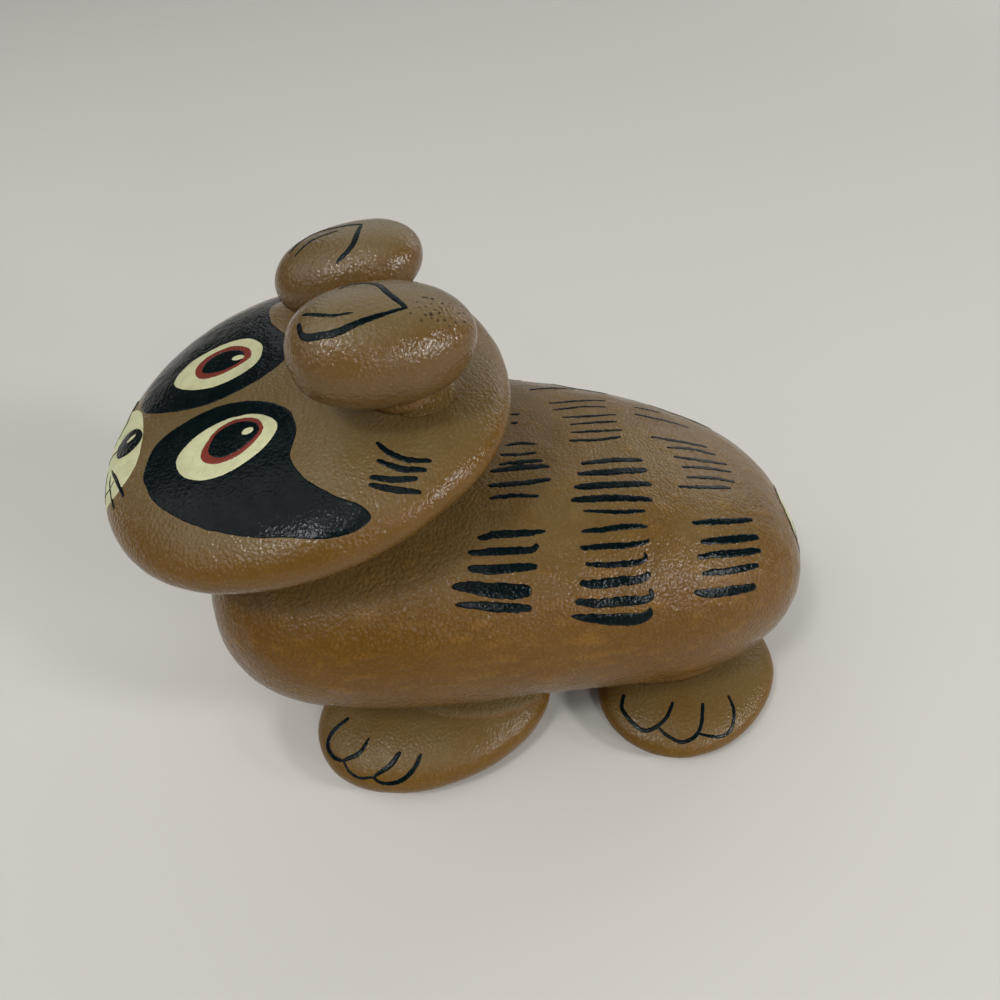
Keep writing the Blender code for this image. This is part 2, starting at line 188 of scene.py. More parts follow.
def brown_paint(name, thin, thick, grain, wrinkle, peel, bump, level, dust, gloss=(0.08, 0.16)):
    """Brown paint over a stone under a satin varnish: two browns in soft blotches, with painted shade
    in the dips of its bumps and painted light on their rises. Level is how much the varnish mirrors,
    and dust how much pale painted sheen, the light that the tops catch, is mixed in on what faces up."""
    material = bpy.data.materials.new(name)
    material.use_nodes = True
    tree = material.node_tree
    shader = tree.nodes["Principled BSDF"]
    skin = add(tree, "Group", {"node_tree": pebble_skin}, Grain_Length=grain, Wrinkle=wrinkle,
               Peel=peel)
    spread = add(tree, "MapRange", Value=skin.outputs["Blotch"], From_Min=0.32, From_Max=0.68)
    colour = add(tree, "Mix", {"data_type": "RGBA"}, Factor_Float=spread.outputs[0],
                 A_Color=(*thin, 1), B_Color=(*thick, 1))
    # Painted shade and light: the colour is darker in the dips of the bumps and lighter on their
    # rises.
    dip_shade = add(tree, "MapRange", Value=skin.outputs["Height"], From_Min=0.1, From_Max=0.7,
               To_Min=0.80, To_Max=1.15)
    shaded = add(tree, "VectorMath", {"operation": "SCALE"}, Vector=colour.outputs["Result"],
                 Scale=dip_shade.outputs[0])
    # Painted sheen: the colour is mixed towards a pale one where the skin faces up.
    top_sheen_share = add(tree, "Math", {"operation": "MULTIPLY"}, Value=skin.outputs["Dust"],
                  Value_001=dust)
    with_top_sheen = add(tree, "Mix", {"data_type": "RGBA"}, Factor_Float=top_sheen_share.outputs[0],
                 A_Color=shaded.outputs[0], B_Color=(*TOP_SHEEN_COLOUR, 1))
    tree.links.new(with_top_sheen.outputs["Result"], shader.inputs["Base Color"])
    shine = add(tree, "MapRange", Value=skin.outputs["Prick"], From_Min=0.3, From_Max=0.7,
                To_Min=gloss[0], To_Max=gloss[1])
    tree.links.new(shine.outputs[0], shader.inputs["Roughness"])
    bumps = add(tree, "Bump", Height=skin.outputs["Height"], Distance=bump)
    tree.links.new(bumps.outputs[0], shader.inputs["Normal"])
    shader.inputs["Specular IOR Level"].default_value = level
    return material


BODY_BROWN = brown_paint("brown_paint_on_body", (0.137, 0.065, 0.009), (0.165, 0.080, 0.014),
                         grain=0.45 * MM, wrinkle=1.1, peel=0.8, bump=0.12 * MM, level=0.22, dust=0.7)


def finished(piece, material, slot, *nodes):
    """Dresses a piece of the figurine, which all moves as one body."""
    piece.data.materials.clear()
    piece.data.materials.append(material)
    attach(piece, "root")
    if nodes:
        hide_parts(*nodes)
    return piece


body_pebble = fine_copy("body_stone", "body_pebble", BODY_CUTS)
weathered(body_pebble, BODY_WAVES)
finished(body_pebble, BODY_BROWN, "painted_stone", "body_stone")

# Paw pebbles
# Four flat oval pebbles, lapped flat underneath so that the figurine stands. They are glued under
# the body, turned outwards, and painted with the same brown.
PAW_CUTS = 3
PAW_WAVES = ((9, 0.12), (4, 0.06), (1.8, 0.022))
PAW_BROWN = brown_paint("brown_paint_on_paws", (0.146, 0.073, 0.012), (0.170, 0.087, 0.018),
                        grain=0.36 * MM, wrinkle=0.2, peel=0.8, bump=0.09 * MM, level=0.20, dust=0.7)

paw_pebbles = {}
for paw in ("front_left_paw", "front_right_paw", "rear_left_paw", "rear_right_paw"):
    pebble = fine_copy(paw, paw + "_pebble", PAW_CUTS)
    weathered(pebble, PAW_WAVES, lowest=0)
    paw_pebbles[paw] = finished(pebble, PAW_BROWN, "painted_stone", paw)

# Head pebble
# One flat, nearly round pebble, glued to the front of the body's back and tipped forwards. Its rim
# is the raccoon's cheeks, and the face is painted on its top.
HEAD_CUTS = 3
HEAD_WAVES = ((13, 0.16), (6, 0.07), (2.8, 0.035), (1.4, 0.016))
HEAD_BROWN = brown_paint("brown_paint_on_head", (0.148, 0.074, 0.013), (0.174, 0.089, 0.020),
                         grain=0.38 * MM, wrinkle=0.15, peel=0.9, bump=0.09 * MM, level=0.29, dust=1)

head_pebble = fine_copy("head_stone", "head_pebble", HEAD_CUTS)
weathered(head_pebble, HEAD_WAVES)
finished(head_pebble, HEAD_BROWN, "painted_stone", "head_stone")

# Ear pebbles
# Two small oval pebbles, smoother than the others. They are glued side by side to the top of the
# head and brushed with the same brown, which took a stronger shine on them.
EAR_CUTS = 3
EAR_WAVES = ((8, 0.09), (3.5, 0.04), (1.6, 0.014))
EAR_BROWN = brown_paint("brown_paint_on_ears", (0.142, 0.079, 0.024), (0.166, 0.093, 0.031),
                        grain=0.35 * MM, wrinkle=0.05, peel=0.9, bump=0.08 * MM, level=0.36, dust=1)

ear_pebbles = {}
for ear in ("left_ear", "right_ear"):
    pebble = fine_copy(ear, ear + "_pebble", EAR_CUTS)
    weathered(pebble, EAR_WAVES)
    ear_pebbles[ear] = finished(pebble, EAR_BROWN, "painted_stone", ear)

# Glue
# Clear adhesive, squeezed out between the stones as they were pressed together and left to set. It
# was brushed over with the brown, so it shows as smooth lumps and ridges of the same colour.
GLUE_CUTS = 2
GLUE_SPREAD = 0.25
GLUE_WAVES = ((5, 0.12),)
GLUE_BROWN = brown_paint("brown_paint_on_glue", (0.152, 0.078, 0.018), (0.174, 0.091, 0.026),
                         grain=0.42 * MM, wrinkle=0.15, peel=0.8, bump=0.13 * MM, level=0.15, dust=0.9,
                         gloss=(0.35, 0.5))

for joint in ("neck", "left_ear", "right_ear", "front_left_paw", "front_right_paw", "rear_left_paw",
              "rear_right_paw"):
    bead = fine_copy(joint + "_glue", joint + "_glue_bead", GLUE_CUTS)
    places, facing = points_of(bead.data)
    bead.data.vertices.foreach_set("co", (places + facing * GLUE_SPREAD * MM).ravel())
    bead.data.update()
    weathered(bead, GLUE_WAVES)
    finished(bead, GLUE_BROWN, "painted_glue", joint + "_glue")

# Fur
# Short dark strokes in three columns across the back and down the flanks, each laid with one touch
# of a pointed brush. They are thin near the spine and heavy low on the flank.
FARTHEST = math.radians(150)
MAP_ROWS = 120
MAP_STEPS = 75
JUST_INSIDE = 1.001
BODY_TILT = -7.2
END_ROOM = 2.0


def lengths_over(node, rows):
    """Lengths measured over a stone along rows of sights, each looking back at it from outside."""
    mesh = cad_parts[node].data
    tree = BVHTree.FromPolygons([v.co for v in mesh.vertices], [p.vertices for p in mesh.polygons])
    table = np.zeros((len(rows), len(rows[0])))
    for row, sights in enumerate(rows):
        last = None
        for step, (centre, way) in enumerate(sights):
            spot = tree.ray_cast(centre + way, -way)[0]
            if last is not None:
                table[row, step] = table[row, step - 1] + (spot - last).length
            last = spot
    return table / MM


def read_table(table, row, step):
    """Values between the rows and steps of a table, blended from the four around each place."""
    row = np.clip(row, 0, table.shape[0] - JUST_INSIDE)
    step = np.clip(step, 0, table.shape[1] - JUST_INSIDE)
    i, j = row.astype(int), step.astype(int)
    u, v = row - i, step - j
    near = table[i, j] * (1 - v) + table[i, j + 1] * v
    return near * (1 - u) + (table[i + 1, j] * (1 - v) + table[i + 1, j + 1] * v) * u


def girth_map(node, tilt):
    """Maps a long stone by girth: x is measured round it from the ridge of its back to the left, and
    y along it from its middle to the rear. Both are in mm."""
    low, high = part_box(node)
    middle = (low + high) / 2
    turn = Euler((math.radians(tilt), 0, 0)).to_matrix()
    reach = (high.y - low.y) / 2 - END_ROOM * MM
    angles = np.linspace(-FARTHEST, FARTHEST, 2 * MAP_STEPS + 1)
    rows = [[(middle + turn @ Vector((0, y, 0)), turn @ Vector((math.sin(a), 0, math.cos(a))))
             for a in angles] for y in np.linspace(-reach, reach, MAP_ROWS)]
    table = lengths_over(node, rows)
    table -= table[:, MAP_STEPS:MAP_STEPS + 1]

    def placed(points):
        local = (points - np.array(middle)) @ np.array(turn)
        row = (local[:, 1] / reach + 1) / 2 * (MAP_ROWS - 1)
        step = (np.arctan2(local[:, 0], local[:, 2]) / FARTHEST + 1) * MAP_STEPS
        return np.stack([read_table(table, row, step), local[:, 1] / MM], 1)
    return placed


# A mark is the box it lies in on a map, and what measures how far outside it each place is. The
# lengths that marks are drawn and laid with are in mm.
Mark = namedtuple("Mark", "low high outside")
EDGE_ROOM = 1.0
CURVE_STEP = 0.2
SHORTEST = 0.01
SWELL = 0.6
STROKE_WOBBLES = (0.9, 0.35, 0.8)
SLIVER = 0.05
FAR_OUT = 99.0
AT_ONCE = 3000
SUNK = 0.03
EDGE_LIFT = 0.1
HOLLOWNESS = 1.6


def smooth(points, closed=False):
    """A smooth curve through a few points, as steps short enough to paint by."""
    p = np.array(points, float)
    first, last = (p[-1:], p[:2]) if closed else (2 * p[:1] - p[1:2], 2 * p[-1:] - p[-2:-1])
    p = np.concatenate([first, p, last])
    curve = []
    for a, b, c, d in zip(p, p[1:], p[2:], p[3:]):
        ab, bc, cd = (max(math.sqrt(np.linalg.norm(side)), SHORTEST) for side in (b - a, c - b, d - c))
        from_b = (c - b) / bc - (c - a) / (ab + bc) + (b - a) / ab
        into_c = (c - b) / bc - (d - b) / (bc + cd) + (d - c) / cd
        for t in np.linspace(0, 1, max(2, int(bc * bc / CURVE_STEP)), endpoint=False):
            curve.append(b + (c - b) * t * t * (3 - 2 * t)
                         + from_b * bc * t * (1 - t) ** 2 - into_c * bc * t * t * (1 - t))
    return np.array(curve if closed else curve + [p[-2]])


def uneven(places, length, seed):
    """Smooth noise over a map, from -1 to 1."""
    return np.array([noise.noise((x, y, seed)) for x, y in places / length])


def wobble(places, wobbles, seed):
    """How an edge wanders: by long waves, and by short ones that are a share as strong."""
    long, short, share = wobbles
    return uneven(places, long, seed) + share * uneven(places, short, seed + 9)


def stroke(points, width, full=0.5, tips=(0.35, 0.55), ragged=0.08, seed=0.0):
    """One touch of a pointed brush. Width is its widest in mm, full how far along that is, and tips
    the shares of it left at the two ends."""
    line = smooth(points)
    steps = np.diff(line, axis=0)
    sizes = np.linalg.norm(steps, axis=1)
    starts = np.concatenate([[0], np.cumsum(sizes)[:-1]])

    def outside(places):
        gap = places[:, None] - line[None, :-1]
        t = np.clip((gap * steps).sum(2) / sizes ** 2, 0, 1)
        away = np.linalg.norm(gap - t[..., None] * steps, axis=2)
        along = (starts + t * sizes) / sizes.sum()
        swell = np.where(along < full, along / full, (1 - along) / (1 - full))
        tip = np.where(along < full, tips[0], tips[1])
        half = width / 2 * (tip + (1 - tip) * np.sin(np.clip(swell, 0, 1) * math.pi / 2) ** SWELL)
        return (away - half).min(1) + ragged * wobble(places, STROKE_WOBBLES, seed)
    room = width + EDGE_ROOM
    return Mark(line.min(0) - room, line.max(0) + room, outside)


def halved(table, faces):
    """Splits each triangle into four. The table has a row a corner."""
    edges = np.sort(np.concatenate([faces[:, [0, 1]], faces[:, [1, 2]], faces[:, [2, 0]]]), axis=1)
    unique, where = np.unique(edges, axis=0, return_inverse=True)
    ab, bc, ca = (where.ravel() + len(table)).reshape(3, -1)
    a, b, c = faces.T
    parts = [(a, ab, ca), (ab, b, bc), (ca, bc, c), (ab, bc, ca)]
    return (np.concatenate([table, table[unique].mean(1)]),
            np.concatenate([np.stack(part, 1) for part in parts]))


def clipped(table, faces, outside):
    """Cuts triangles where the value outside is zero, and keeps the side where it is below."""
    inside = outside < 0
    kept = [faces[inside[faces].all(1)]]
    extra, keys = [], {}
    for count in (1, 2):
        mixed = faces[inside[faces].sum(1) == count]
        odd = inside[mixed] == (count == 1)
        first = odd.argmax(1)
        turned = np.stack([mixed[np.arange(len(mixed)), (first + k) % 3] for k in range(3)], 1)
        for a, b, c in turned.tolist():
            cuts = []
            for far in (b, c):
                key = (min(a, far), max(a, far))
                if key not in keys:
                    keys[key] = len(table) + len(extra)
                    low, high = key
                    t = outside[low] / (outside[low] - outside[high])
                    t = min(1 - SLIVER, max(SLIVER, t))
                    extra.append(table[low] * (1 - t) + table[high] * t)
                cuts.append(keys[key])
            if count == 1:
                kept.append([[a, cuts[0], cuts[1]]])
            else:
                kept.append([[cuts[0], b, c], [cuts[0], c, cuts[1]]])
    table = np.concatenate([table, extra]) if extra else table
    outside = np.concatenate([outside, np.zeros(len(extra))])
    return table, np.concatenate(kept).astype(int), outside


def painted(name, stone, chart, marks, height, halvings, shoulder=0.15, hollow=False):
    """Lays paint on a stone: a thin closed skin over the marks that follows the stone's own bumps,
    height in mm above it. Within a shoulder of its edge it comes down to the stone, rounded or
    else hollow as a bank of glue is."""
    mesh = stone.data
    mesh.calc_loop_triangles()
    faces = np.empty(len(mesh.loop_triangles) * 3, int)
    mesh.loop_triangles.foreach_get("vertices", faces)
    faces = faces.reshape(-1, 3)
    places, facing = points_of(mesh)
    table = np.concatenate([places, facing, chart(places)], 1)

    def measured(rows):
        flat = rows[:, 6:]
        found = np.full(len(flat), FAR_OUT)
        for mark in marks:
            near = np.flatnonzero(((flat > mark.low) & (flat < mark.high)).all(1))
            for part in np.array_split(near, len(near) // AT_ONCE + 1):
                if len(part):
                    found[part] = np.minimum(found[part], mark.outside(flat[part]))
        return found

    outside = measured(table)
    for halving in range(halvings + 1):
        faces = faces[(outside[faces] < EDGE_ROOM).any(1)]
        used, where = np.unique(faces, return_inverse=True)
        table, faces, outside = table[used], where.reshape(-1, 3), outside[used]
        if halving < halvings:
            table, faces = halved(table, faces)
            outside = measured(table)
    table, faces, outside = clipped(table, faces, outside)
    used, where = np.unique(faces, return_inverse=True)
    table, faces, outside = table[used], where.reshape(-1, 3), outside[used]
    facing = table[:, 3:6] / np.linalg.norm(table[:, 3:6], axis=1)[:, None]
    rise = np.clip(-outside / shoulder, 0, 1)
    shape = rise ** HOLLOWNESS if hollow else rise * (2 - rise)
    lift = height * MM * (EDGE_LIFT + (1 - EDGE_LIFT) * shape)
    top = table[:, :3] + facing * lift[:, None]
    bottom = table[:, :3] - facing * SUNK * MM
    sides = np.concatenate([faces[:, [0, 1]], faces[:, [1, 2]], faces[:, [2, 0]]])
    known = set(map(tuple, sides.tolist()))
    count = len(table)
    walls = [(b, a, a + count, b + count) for a, b in known if (b, a) not in known]
    skin = bpy.data.meshes.new(name)
    skin.from_pydata(np.concatenate([top, bottom]).tolist(), [],
                     faces.tolist() + (faces[:, ::-1] + count).tolist() + walls)
    skin.shade_smooth()
    piece = bpy.data.objects.new(name, skin)
    bpy.context.scene.collection.objects.link(piece)
    return piece


def brush_marks_group():
    """Hand-brushed paint: streaks and thin places, and a height for the ridges of the brush."""
    group = effect("brush marks", {"Streak Length": ("Float", 2.5 * MM)},
                   {"Height": "Float", "Thin": "Float"})
    inside = group.nodes.new("NodeGroupInput")
    where = add(group, "TexCoord").outputs["Object"]
    pitch = add(group, "Math", {"operation": "DIVIDE"}, Value=1.0,
                Value_001=inside.outputs["Streak Length"]).outputs[0]
    stretched = add(group, "Mapping", Vector=where, Scale=(3.0, 1.0, 2.0)).outputs[0]
    streak = add(group, "TexNoise", Vector=stretched, Scale=pitch, Detail=3.0, Roughness=0.6)
    peel = add(group, "TexNoise", Vector=where, Scale=2200.0, Detail=2.0)
    both = add(group, "Math", {"operation": "MULTIPLY_ADD"}, Value=streak.outputs[0],
               Value_001=0.5, Value_002=peel.outputs[0])
    thin = add(group, "TexNoise", Vector=where, Scale=420.0, Detail=6.0, Roughness=0.75)
    out = group.nodes.new("NodeGroupOutput")
    group.links.new(both.outputs[0], out.inputs["Height"])
    group.links.new(thin.outputs[0], out.inputs["Thin"])
    return group


brush_marks = brush_marks_group()


def brushed_paint(name, full, worn, streak, bump, level=0.17, gloss=(0.2, 0.34)):
    """A colour laid with a small brush under satin varnish, paler or darker where it lies thin."""
    material = bpy.data.materials.new(name)
    material.use_nodes = True
    tree = material.node_tree
    shader = tree.nodes["Principled BSDF"]
    brush = add(tree, "Group", {"node_tree": brush_marks}, Streak_Length=streak)
    spread = add(tree, "MapRange", Value=brush.outputs["Thin"], From_Min=0.42, From_Max=0.75)
    colour = add(tree, "Mix", {"data_type": "RGBA"}, Factor_Float=spread.outputs[0],
                 A_Color=(*full, 1), B_Color=(*worn, 1))
    tree.links.new(colour.outputs["Result"], shader.inputs["Base Color"])
    shine = add(tree, "MapRange", Value=brush.outputs["Thin"], From_Min=0.3, From_Max=0.7,
                To_Min=gloss[0], To_Max=gloss[1])
    tree.links.new(shine.outputs[0], shader.inputs["Roughness"])
    bumps = add(tree, "Bump", Height=brush.outputs["Height"], Distance=bump)
    tree.links.new(bumps.outputs[0], shader.inputs["Normal"])
    shader.inputs["Specular IOR Level"].default_value = level
    return material


CHARCOAL = brushed_paint("charcoal_paint", (0.001, 0.004, 0.005), (0.005, 0.010, 0.010),
                         streak=1.6 * MM, bump=0.085 * MM, level=0.12, gloss=(0.06, 0.13))
SPINE_STROKES = (
    (-7.1, -2.8, -7.3, -1.6, 0.6), (-5.0, -2.9, -5.2, -2.1, 0.6), (0.4, -4.1, -0.2, 0.2, 0.7),
    (2.5, -5.0, 1.7, 0.1, 0.7), (4.4, -5.2, 3.3, 0.8, 0.85), (5.8, -6.5, 4.4, 1.6, 1.1),
    (8.5, -7.0, 7.0, 1.6, 1.0), (10.7, -6.9, 10.1, -0.3, 0.8),
    (-15.1, 1.0, -18.8, 9.1, 0.75), (-10.7, 3.5, -13.7, 13.3, 0.55), (-8.9, 4.0, -11.1, 12.9, 0.5),
    (-7.1, 5.2, -9.1, 14.2, 0.55), (-5.3, 6.2, -7.0, 13.8, 0.55), (-3.4, 6.1, -4.9, 14.2, 0.55),
    (-1.4, 5.7, -3.3, 13.8, 0.65),
    (3.5, 6.9, 1.3, 16.3, 1.05), (5.6, 6.2, 3.4, 16.5, 1.35), (8.2, 5.4, 6.2, 16.6, 1.35),
    (10.5, 4.6, 9.2, 16.2, 1.25), (12.2, 6.1, 11.3, 15.1, 0.75),
    (-13.0, 18.3, -13.2, 22.9, 0.65), (-10.2, 17.8, -10.2, 27.2, 0.7),
    (-4.3, 19.2, -5.5, 29.2, 0.65), (-2.5, 21.4, -4.2, 30.4, 0.65), (-0.7, 22.1, -2.5, 31.9, 0.7),
    (1.3, 23.1, -0.8, 32.2, 0.65), (3.5, 23.2, 1.4, 32.1, 0.65), (5.8, 21.4, 3.3, 30.7, 0.75),
)
BLUNT, FINE_REAR, FINE_FRONT = (0.55, 0.65), (0.6, 0.3), (0.2, 0.6)
FLANK_STROKES = (
    (((16.9, -8.4), (16.4, -6.2), (16.1, -2.8), (15.7, 0.3)), 1.2, 0.4, FINE_REAR),
    (((19.0, -9.8), (18.8, -6.9), (18.6, -3.5), (18.4, -1.4), (17.9, -0.8)), 1.15, 0.5, BLUNT),
    (((21.1, -9.7), (21.2, -6.9), (20.9, -3.5), (20.7, -1.2)), 1.35, 0.3, BLUNT),
    (((23.5, -11.8), (23.5, -10.2), (23.9, -6.9), (24.0, -3.5), (23.9, -2.3)), 2.1, 0.7,
     (0.25, 0.8)),
    (((25.8, -11.5), (25.9, -8.5), (26.1, -5.1), (26.1, -1.8)), 1.35, 0.65, FINE_FRONT),
    (((15.4, 5.7), (14.9, 8.7), (14.2, 11.7), (13.7, 15.3)), 0.95, 0.55, (0.5, 0.2)),
    (((17.8, 5.3), (17.4, 8.5), (16.8, 12.2), (16.1, 14.7), (15.7, 15.2)), 0.95, 0.5, FINE_REAR),
    (((20.0, 6.0), (19.9, 8.8), (19.4, 12.1), (18.8, 14.2), (18.2, 14.6), (17.7, 14.4)), 0.9, 0.6,
     FINE_REAR),
    (((22.6, 5.3), (22.6, 7.0), (22.0, 10.6), (21.3, 13.9), (20.7, 14.8)), 1.35, 0.4, BLUNT),
    (((25.0, 4.8), (25.1, 7.8), (24.6, 11.4), (24.1, 14.4), (23.6, 15.4), (22.7, 15.2)), 1.4, 0.55,
     FINE_REAR),
    (((27.0, 4.0), (27.2, 7.2), (27.2, 10.6), (26.9, 13.5), (26.2, 15.2), (25.5, 15.4)), 1.8, 0.7,
     (0.15, 0.4)),
    (((12.0, 22.5), (11.2, 25.6), (10.1, 29.3), (8.7, 33.0)), 1.05, 0.4, BLUNT),
    (((14.8, 23.5), (14.0, 26.3), (12.9, 29.6), (11.5, 33.4)), 1.25, 0.6, BLUNT),
    (((17.1, 22.8), (16.1, 26.1), (15.0, 29.7), (13.6, 33.5)), 1.15, 0.6, BLUNT),
    (((19.4, 23.3), (18.5, 26.4), (17.4, 29.5), (16.0, 32.9)), 1.0, 0.5, BLUNT),
    (((22.3, 22.3), (21.9, 24.8), (20.8, 28.2), (19.3, 32.2)), 1.4, 0.35, BLUNT),
)
SPINE_BOW = 0.25
FUR_RAGGED = 0.13
RIGHT_LOWER = 5.5
body_map = girth_map("body_stone", BODY_TILT)

spine = []
for order, (x0, y0, x1, y1, width) in enumerate(SPINE_STROKES):
    middle = ((x0 + x1) / 2 + SPINE_BOW * math.sin(order * 2.4), (y0 + y1) / 2)
    full = 0.5 + 0.2 * math.sin(order * 1.7)
    spine.append(stroke(((x0, y0), middle, (x1, y1)), width, full, BLUNT, FUR_RAGGED, order))
flanks = []
for side, lower in ((1, 0), (-1, RIGHT_LOWER)):
    for order, (points, width, full, tips) in enumerate(FLANK_STROKES):
        line = [(side * (x + lower), y) for x, y in points]
        flanks.append(stroke(line, width, full, tips, FUR_RAGGED, order + side))
fur = painted("fur_strokes", body_pebble, body_map, spine + flanks, height=0.06, halvings=1)
finished(fur, CHARCOAL, "charcoal_paint")

# Mask
# The dark patches round the eyes, brushed straight on the brown. Each sweeps back to a point on the
# cheek, and they stop short of each other on the brow.
LEAST_RISE = 1e-9
PATCH_WOBBLES = (1.3, 0.5, 0.5)


def taped_map(node, turn, tilt):
    """Maps a stone from its top, as a tape laid over it from there measures: x goes to the raccoon's
    left and y to its rear, both in mm. Turn and tilt set how the top faces."""
    low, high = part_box(node)
    middle = (low + high) / 2
    facing = Euler((math.radians(tilt), 0, math.radians(turn))).to_matrix()
    leans = np.linspace(0, FARTHEST, MAP_STEPS)
    rows = [[(middle, facing @ Vector((math.sin(a) * math.cos(b), math.sin(a) * math.sin(b),
                                       math.cos(a)))) for a in leans]
            for b in np.linspace(0, 2 * math.pi, MAP_ROWS)]
    table = lengths_over(node, rows)

    def placed(points):
        local = (points - np.array(middle)) @ np.array(facing)
        across = np.hypot(local[:, 0], local[:, 1])
        angle = np.arctan2(local[:, 1], local[:, 0]) % (2 * math.pi)
        lean = np.arctan2(across, local[:, 2]) / FARTHEST * (MAP_STEPS - 1)
        reach = read_table(table, angle / (2 * math.pi) * (MAP_ROWS - 1), lean)
        return np.stack([reach * np.cos(angle), reach * np.sin(angle)], 1)
    return placed


def patch(points, ragged=0.05, seed=0.0):
    """A patch of paint with a smooth closed outline through a few points."""
    line = smooth(points, closed=True)
    ends = np.roll(line, -1, axis=0)
    steps = ends - line
    sizes = np.linalg.norm(steps, axis=1)

    def outside(places):
        gap = places[:, None] - line[None]
        t = np.clip((gap * steps).sum(2) / sizes ** 2, 0, 1)
        away = np.linalg.norm(gap - t[..., None] * steps, axis=2).min(1)
        x, y = places[:, :1], places[:, 1:]
        spans = (line[:, 1] > y) != (ends[:, 1] > y)
        rise = np.where(steps[:, 1] == 0, LEAST_RISE, steps[:, 1])
        left_of = x < line[:, 0] + (y - line[:, 1]) / rise * steps[:, 0]
        inside = (spans & left_of).sum(1) % 2 == 1
        return np.where(inside, -away, away) + ragged * wobble(places, PATCH_WOBBLES, seed)
    return Mark(line.min(0) - EDGE_ROOM, line.max(0) + EDGE_ROOM, outside)


HEAD_TURN, HEAD_TILT = 4.9, 12.4
LEFT_MASK = ((11.4, -19.0), (7.3, -17.8), (5.1, -14.1), (4.2, -9.0), (5.7, -3.2), (9.0, 0.7),
             (12.9, 1.6), (16.4, 0.8), (20.1, 2.5), (23.1, 5.7), (25.1, 8.7), (26.4, 9.3),
             (27.5, 7.5), (27.7, 3.8), (26.9, 0.4), (25.4, -4.8), (22.0, -11.1), (18.1, -15.6),
             (14.1, -18.2))
RIGHT_MASK = ((-2.4, -21.9), (1.0, -17.5), (2.9, -11.7), (2.5, -6.5), (0.2, -2.0), (-3.0, 0.6),
              (-7.0, 1.4), (-12.0, 0.9), (-16.5, 2.6), (-20.5, 6.4), (-23.2, 9.0), (-24.9, 7.6),
              (-25.2, 4.0), (-24.9, 0.0), (-24.2, -4.1), (-22.0, -9.4), (-20.3, -15.5),
              (-18.6, -18.5), (-15.2, -21.0), (-11.0, -22.3), (-6.9, -23.0))
head_map = taped_map("head_stone", HEAD_TURN, HEAD_TILT)
marks = [patch(LEFT_MASK, ragged=0.08, seed=1), patch(RIGHT_MASK, ragged=0.08, seed=2)]
mask = painted("mask", head_pebble, head_map, marks, height=0.05, halvings=1)
finished(mask, CHARCOAL, "charcoal_paint")

# Eyes
# Each eye is four coats over the mask, the next on the last once that was dry: a cream oval, a brick
# red ring, a black pupil and a small cream highlight.
CREAM = brushed_paint("cream_paint", (0.60, 0.60, 0.36), (0.44, 0.43, 0.24), streak=2.0 * MM,
                      bump=0.05 * MM, gloss=(0.35, 0.5))
BRICK_RED = brushed_paint("brick_red_paint", (0.2, 0.035, 0.022), (0.12, 0.025, 0.018),
                          streak=1.2 * MM, bump=0.04 * MM)
LEFT_WHITE = ((11.0, -14.1), (8.5, -11.6), (7.3, -7.5), (8.2, -3.1), (10.9, -0.7), (13.5, -1.8),
              (15.6, -4.8), (16.4, -8.7), (15.0, -12.3), (13.0, -13.8))
LEFT_RING = ((11.9, -10.8), (8.5, -8.6), (7.9, -6.0), (9.0, -3.3), (11.2, -2.5), (14.0, -5.0),
             (14.6, -8.0), (13.5, -10.2))
LEFT_PUPIL = ((11.5, -9.8), (9.2, -8.5), (8.5, -6.2), (9.5, -3.6), (11.2, -3.0), (13.3, -5.1),
              (13.9, -7.5), (12.9, -9.4))
RIGHT_WHITE = ((-6.2, -17.0), (-9.1, -15.0), (-10.6, -11.0), (-9.6, -6.1), (-6.3, -3.7),
               (-2.5, -4.3), (-0.3, -8.4), (-1.2, -13.1), (-4.1, -16.6))
RIGHT_RING = ((-6.4, -13.8), (-8.7, -12.2), (-8.9, -8.4), (-6.7, -5.6), (-4.3, -5.2), (-2.5, -8.7),
              (-3.1, -12.4), (-4.8, -13.6))
RIGHT_PUPIL = ((-5.6, -12.7), (-7.6, -11.6), (-8.0, -9.2), (-6.5, -6.5), (-4.5, -6.2),
               (-3.2, -8.0), (-3.5, -11.0), (-4.5, -12.4))
COATS = (("eye_whites", (LEFT_WHITE, RIGHT_WHITE), 0.10, CREAM, "cream_paint"),
         ("eye_rings", (LEFT_RING, RIGHT_RING), 0.15, BRICK_RED, "red_paint"),
         ("pupils", (LEFT_PUPIL, RIGHT_PUPIL), 0.20, CHARCOAL, "charcoal_paint"))
for name, outlines, height, paint, slot in COATS:
    marks = [patch(outline, ragged=0.05, seed=3 + order) for order, outline in enumerate(outlines)]
    coat = painted(name, head_pebble, head_map, marks, height, halvings=1)
    finished(coat, paint, slot)
GLINTS = (((10.8, -4.9), (10.7, -4.2)), ((-5.1, -7.5), (-4.9, -6.6)))
marks = [stroke(glint, width=1.25, tips=(0.8, 0.8), ragged=0.04) for glint in GLINTS]
eye_glints = painted("eye_glints", head_pebble, head_map, marks, height=0.26, halvings=2)
finished(eye_glints, CREAM, "cream_paint")

